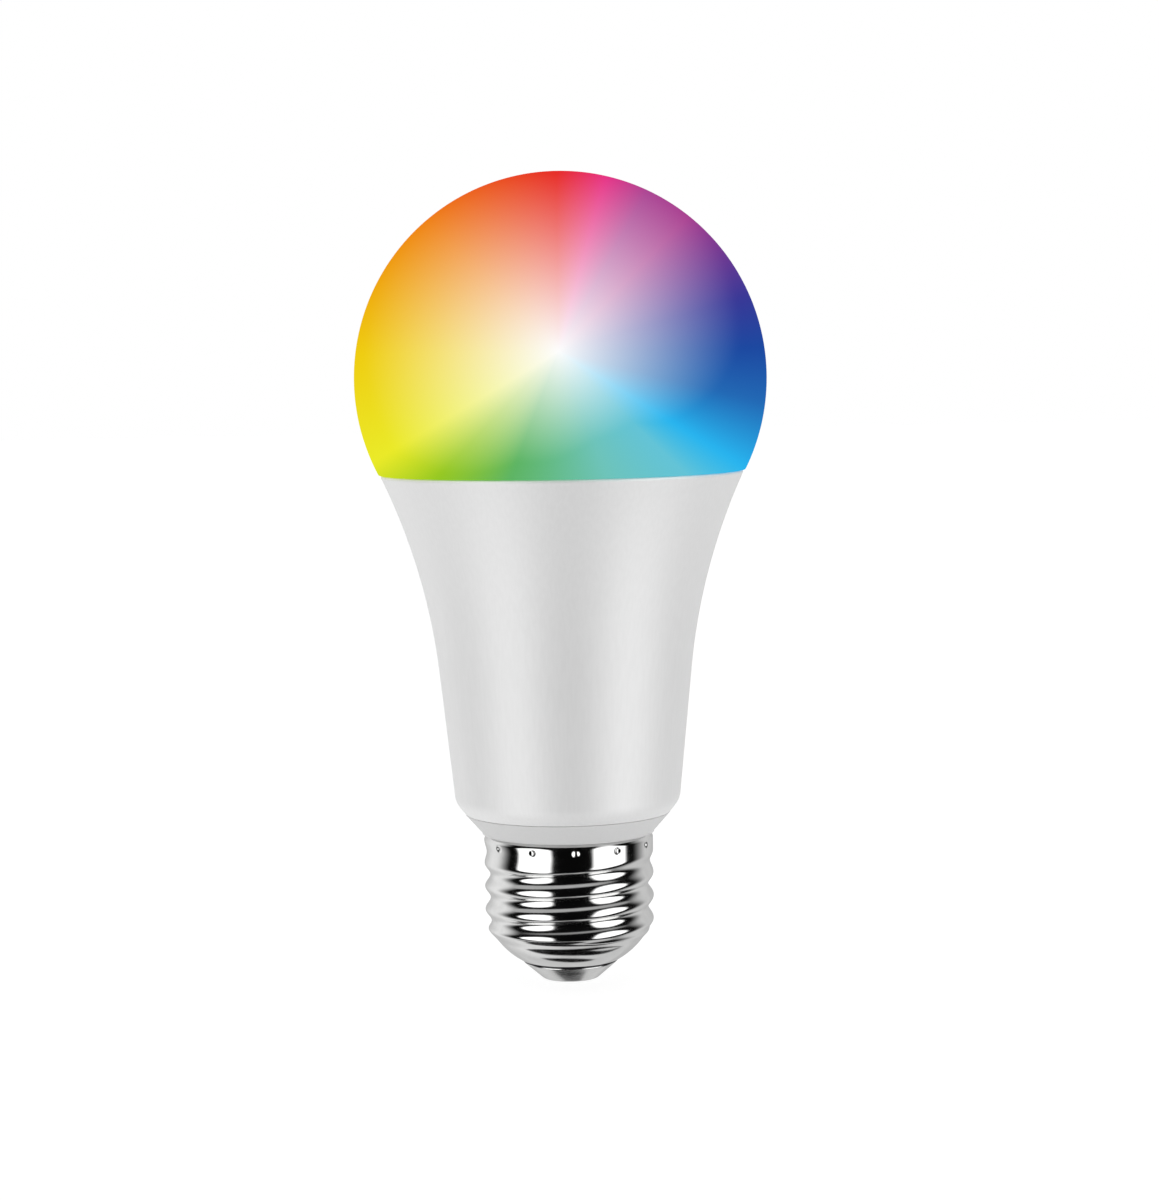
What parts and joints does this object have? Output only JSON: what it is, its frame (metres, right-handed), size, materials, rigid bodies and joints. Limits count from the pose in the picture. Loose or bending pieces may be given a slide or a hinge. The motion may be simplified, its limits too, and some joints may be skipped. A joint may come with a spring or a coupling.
{
  "type": "smart light bulb",
  "caption": "Smart LED bulb with a domed colour-changing diffuser, a flared white housing and a screw cap with a centre contact.",
  "frame": {"origin": "centre of the underside of the centre contact, on the bulb's axis", "axes": "+Z along the bulb's axis from the screw cap to the globe; -Y is the front"},
  "size_m": [0.0634, 0.0634, 0.125],
  "materials": {
    "diffuser_glow": "milky polycarbonate globe, smooth, lit from inside in a colour wheel",
    "clear_silicone": "clear cured glue",
    "white_pbt": "white moulded plastic, satin",
    "collar_pbt": "white moulded plastic, satin",
    "nickel": "nickel-plated sheet, bright",
    "contact_metal": "tinned contact, satin",
    "dark_insulator": "black glassy insulator",
    "brass_pin": "bare brass",
    "pressed_aluminium": "pressed sheet, mill finish",
    "grey_pad": "soft heat pad",
    "white_solder_mask": "white solder mask on a metal core",
    "green_board": "green solder mask on glass fibre",
    "blue_board": "dark blue solder mask on glass fibre",
    "led_white_body": "white moulded package",
    "warm_phosphor": "orange-yellow phosphor gel",
    "cool_phosphor": "pale yellow phosphor gel",
    "clear_window": "clear epoxy window",
    "screw_steel": "zinc-plated screw steel",
    "tinned_copper": "tinned copper",
    "black_plastic": "black moulded plastic",
    "shield_steel": "tinned shield can",
    "bare_copper": "bare copper trace",
    "copper_winding": "enamelled copper wire",
    "capacitor_sleeve": "dark heat-shrunk sleeve, can top bare",
    "ferrite": "dark grey sintered ferrite",
    "bobbin_plastic": "black phenolic bobbin",
    "film_box": "yellow potting box",
    "varistor_blue": "blue dipped epoxy",
    "resistor_body": "beige coated resistor with bands",
    "chip_black": "black moulding compound",
    "chip_ceramic": "brown ceramic chip",
    "solder": "bright solder",
    "red_insulation": "red wire insulation",
    "white_insulation": "white wire insulation"
  },
  "bodies": {
    "root": {"diffuser": "diffuser_glow", "diffuser_sealant": "clear_silicone", "housing": "white_pbt", "driver_case": "collar_pbt", "screw_shell": "nickel", "base_insulator": "dark_insulator", "centre_contact": "contact_metal", "contact_pin": "brass_pin", "heat_sink_cup": "pressed_aluminium", "led_carrier_plate": "pressed_aluminium", "thermal_pad": "grey_pad", "led_board": "white_solder_mask", "warm_white_leds": "led_white_body", "warm_white_phosphors": "warm_phosphor", "cool_white_leds": "led_white_body", "cool_white_phosphors": "cool_phosphor", "rgb_leds": "led_white_body", "rgb_led_windows": "clear_window", "board_screws": "screw_steel", "link_pins": "tinned_copper", "link_socket": "black_plastic", "link_strip": "black_plastic", "radio_board": "blue_board", "radio_shield": "shield_steel", "radio_chip": "chip_black", "radio_antenna": "bare_copper", "driver_board": "green_board", "bulk_capacitor_can": "capacitor_sleeve", "bulk_capacitor_leads": "tinned_copper", "output_capacitor_can": "capacitor_sleeve", "output_capacitor_leads": "tinned_copper", "transformer_core": "ferrite", "transformer_bobbin": "bobbin_plastic", "transformer_winding": "copper_winding", "choke_core": "ferrite", "choke_winding": "copper_winding", "film_capacitor": "film_box", "varistor": "varistor_blue", "fuse_resistor": "resistor_body", "bridge_rectifier": "chip_black", "driver_chips": "chip_black", "chip_resistors": "chip_black", "chip_capacitors": "chip_ceramic", "solder_joints": "solder", "live_wire": "red_insulation", "neutral_wire": "white_insulation"}
  },
  "joints": []
}
